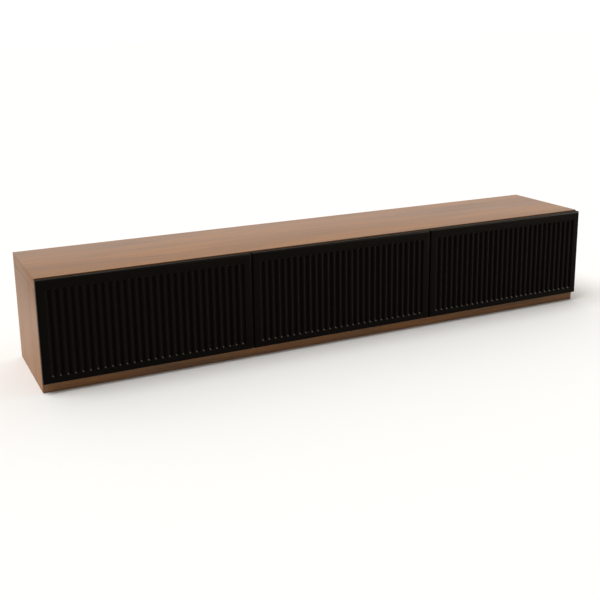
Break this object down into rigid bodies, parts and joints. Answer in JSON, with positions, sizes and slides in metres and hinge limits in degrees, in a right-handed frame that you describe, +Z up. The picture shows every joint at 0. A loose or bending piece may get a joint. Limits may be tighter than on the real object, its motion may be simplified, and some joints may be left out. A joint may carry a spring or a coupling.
{
  "type": "media cabinet",
  "caption": "Long low media cabinet with walnut-laminate carcase, flush plinth and black fluted drop-down flaps that push open.",
  "frame": {"origin": "on the floor under the middle of the cabinet with its flaps closed", "axes": "+X along the cabinet to the right as seen from the front, -Y out of the front, +Z up"},
  "size_m": [2, 0.374, 0.351],
  "materials": {
    "walnut_laminate": "satin walnut-pattern laminate on chipboard",
    "chipboard": "raw chipboard",
    "hardboard": "walnut-printed hardboard",
    "black_lacquer": "satin black lacquer on MDF",
    "beech": "raw beech",
    "zinc": "die-cast zinc",
    "steel": "nickel-plated pressed steel",
    "chrome_rod": "polished",
    "black_plastic": "fine matt",
    "grey_plastic": "fine matt",
    "clear_buffer": "translucent soft buffer"
  },
  "bodies": {
    "carcase": {"top_panel": "walnut_laminate", "side_panel_left": "walnut_laminate", "side_panel_right": "walnut_laminate", "divider_left": "walnut_laminate", "divider_right": "walnut_laminate", "bottom_panel": "walnut_laminate", "plinth_front": "walnut_laminate", "plinth_rear": "walnut_laminate", "plinth_stretchers": "chipboard", "back_panel_left": "hardboard", "back_panel_middle": "hardboard", "back_panel_right": "hardboard", "cable_grommets": "black_plastic", "cam_housings": "zinc", "cam_bolts": "steel", "wooden_dowels": "beech", "divider_confirmats": "steel", "plinth_brackets": "steel", "plinth_bracket_screws": "steel", "hinge_fixed_leaves": "steel", "hinge_pins": "steel", "hinge_leaf_screws": "steel", "stay_plates": "steel", "stay_plate_screws": "steel", "latch_housings": "grey_plastic", "latch_screws": "steel"},
    "flap_left": {"flap_panel_left": "black_lacquer", "flap_hinge_leaves_left": "steel", "flap_screws_left": "steel", "flap_stay_brackets_left": "steel", "flap_strike_plate_left": "steel", "flap_bumpers_left": "clear_buffer"},
    "stay_rods_left": {"stay_rods_left": "chrome_rod"},
    "stay_brakes_left": {"stay_brakes_left": "black_plastic"},
    "latch_plunger_left": {"latch_plunger_left": "grey_plastic"},
    "flap_middle": {"flap_panel_middle": "black_lacquer", "flap_hinge_leaves_middle": "steel", "flap_screws_middle": "steel", "flap_stay_brackets_middle": "steel", "flap_strike_plate_middle": "steel", "flap_bumpers_middle": "clear_buffer"},
    "stay_rods_middle": {"stay_rods_middle": "chrome_rod"},
    "stay_brakes_middle": {"stay_brakes_middle": "black_plastic"},
    "latch_plunger_middle": {"latch_plunger_middle": "grey_plastic"},
    "flap_right": {"flap_panel_right": "black_lacquer", "flap_hinge_leaves_right": "steel", "flap_screws_right": "steel", "flap_stay_brackets_right": "steel", "flap_strike_plate_right": "steel", "flap_bumpers_right": "clear_buffer"},
    "stay_rods_right": {"stay_rods_right": "chrome_rod"},
    "stay_brakes_right": {"stay_brakes_right": "black_plastic"},
    "latch_plunger_right": {"latch_plunger_right": "grey_plastic"}
  },
  "joints": [
    {"name": "flap_left_hinge", "type": "hinge", "parent": "carcase", "child": "flap_left", "pos_m": [-0.668, -0.173, 0.036], "axis": [1, 0, 0], "range_deg": [0, 90]},
    {"name": "stay_rods_left_pivot", "type": "hinge", "parent": "flap_left", "child": "stay_rods_left", "pos_m": [-0.668, -0.159, 0.18535], "axis": [1, 0, 0], "range_deg": [-45, 0]},
    {"name": "stay_brakes_left_swivel", "type": "hinge", "parent": "carcase", "child": "stay_brakes_left", "pos_m": [-0.668, -0.07658, 0.15091], "axis": [1, 0, 0], "range_deg": [0, 45]},
    {"name": "latch_plunger_left_slide", "type": "slide", "parent": "carcase", "child": "latch_plunger_left", "axis": [0, -1, 0], "range_m": [0, 0.02]},
    {"name": "flap_middle_hinge", "type": "hinge", "parent": "carcase", "child": "flap_middle", "pos_m": [0, -0.173, 0.036], "axis": [1, 0, 0], "range_deg": [0, 90]},
    {"name": "stay_rods_middle_pivot", "type": "hinge", "parent": "flap_middle", "child": "stay_rods_middle", "pos_m": [0, -0.159, 0.18535], "axis": [1, 0, 0], "range_deg": [-45, 0]},
    {"name": "stay_brakes_middle_swivel", "type": "hinge", "parent": "carcase", "child": "stay_brakes_middle", "pos_m": [0, -0.07658, 0.15091], "axis": [1, 0, 0], "range_deg": [0, 45]},
    {"name": "latch_plunger_middle_slide", "type": "slide", "parent": "carcase", "child": "latch_plunger_middle", "axis": [0, -1, 0], "range_m": [0, 0.02]},
    {"name": "flap_right_hinge", "type": "hinge", "parent": "carcase", "child": "flap_right", "pos_m": [0.668, -0.173, 0.036], "axis": [1, 0, 0], "range_deg": [0, 90]},
    {"name": "stay_rods_right_pivot", "type": "hinge", "parent": "flap_right", "child": "stay_rods_right", "pos_m": [0.668, -0.159, 0.18535], "axis": [1, 0, 0], "range_deg": [-45, 0]},
    {"name": "stay_brakes_right_swivel", "type": "hinge", "parent": "carcase", "child": "stay_brakes_right", "pos_m": [0.668, -0.07658, 0.15091], "axis": [1, 0, 0], "range_deg": [0, 45]},
    {"name": "latch_plunger_right_slide", "type": "slide", "parent": "carcase", "child": "latch_plunger_right", "axis": [0, -1, 0], "range_m": [0, 0.02]}
  ],
  "couplings": [
    {"joint": "stay_rods_left_pivot", "follows": "flap_left_hinge", "ratio": -0.5},
    {"joint": "stay_brakes_left_swivel", "follows": "flap_left_hinge", "ratio": 0.5},
    {"joint": "latch_plunger_left_slide", "follows": "flap_left_hinge", "m_per_rad": 0.0127},
    {"joint": "stay_rods_middle_pivot", "follows": "flap_middle_hinge", "ratio": -0.5},
    {"joint": "stay_brakes_middle_swivel", "follows": "flap_middle_hinge", "ratio": 0.5},
    {"joint": "latch_plunger_middle_slide", "follows": "flap_middle_hinge", "m_per_rad": 0.0127},
    {"joint": "stay_rods_right_pivot", "follows": "flap_right_hinge", "ratio": -0.5},
    {"joint": "stay_brakes_right_swivel", "follows": "flap_right_hinge", "ratio": 0.5},
    {"joint": "latch_plunger_right_slide", "follows": "flap_right_hinge", "m_per_rad": 0.0127}
  ]
}
